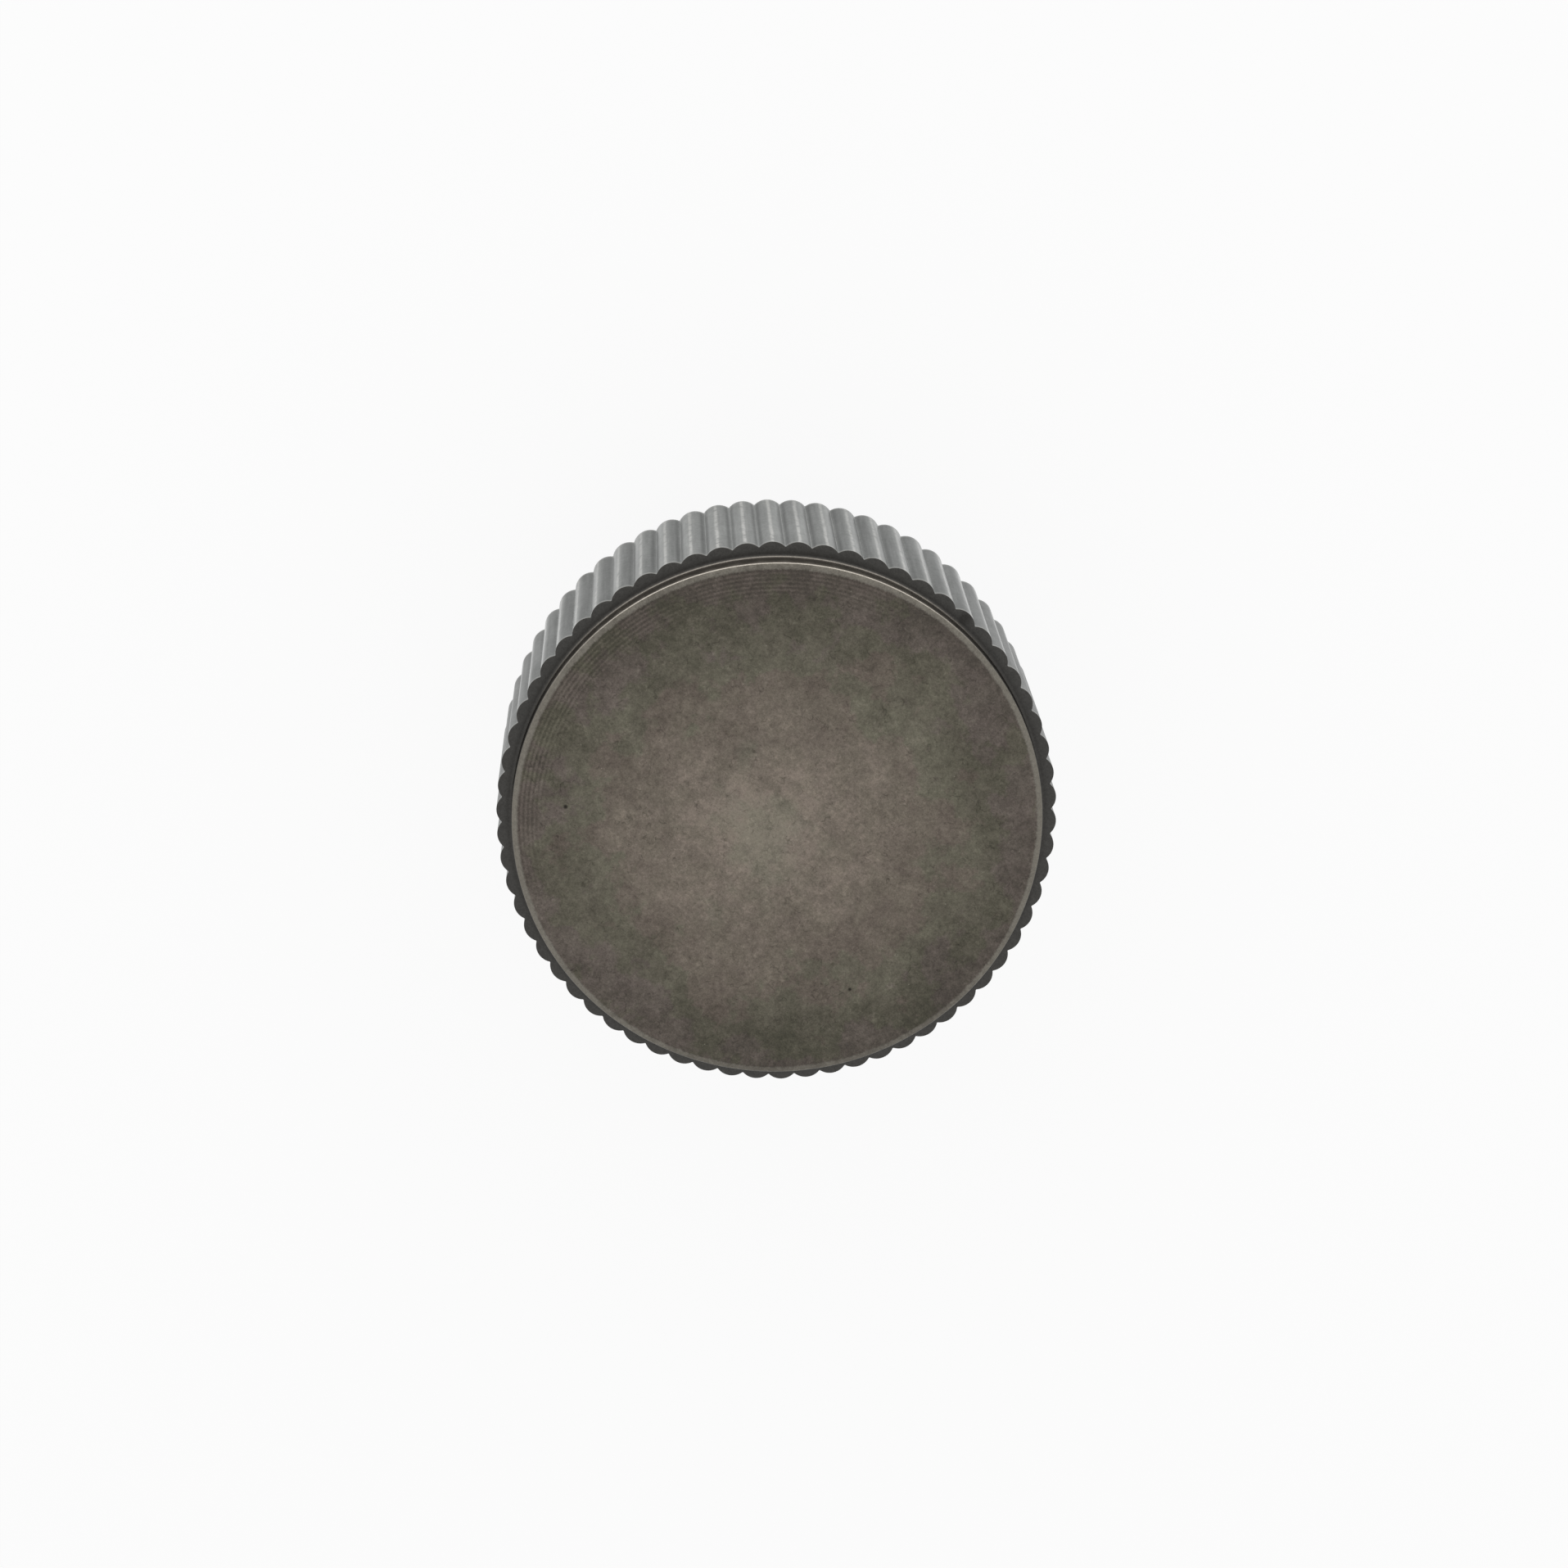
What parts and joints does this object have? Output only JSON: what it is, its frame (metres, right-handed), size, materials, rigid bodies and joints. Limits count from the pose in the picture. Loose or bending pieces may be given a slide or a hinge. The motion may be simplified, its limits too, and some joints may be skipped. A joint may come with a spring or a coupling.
{
  "type": "ribbed knob",
  "caption": "Solid round metal knob with a straight-ribbed edge, a raised flat disc on the front and a plain stem with a tapped hole for a fixing screw from behind.",
  "frame": {"origin": "centre of the stem's foot, on the plane that the knob is fixed to or stands on", "axes": "+Z along the knob's axis from the foot of the stem to the face; a valley between two ribs lies on +X"},
  "size_m": [0.034, 0.034, 0.025],
  "materials": {
    "knob": "dark bronze patina on turned brass, satin, rubbed a little paler on the rim and the rib crests"
  },
  "bodies": {
    "root": {"knob": "knob"}
  },
  "joints": []
}
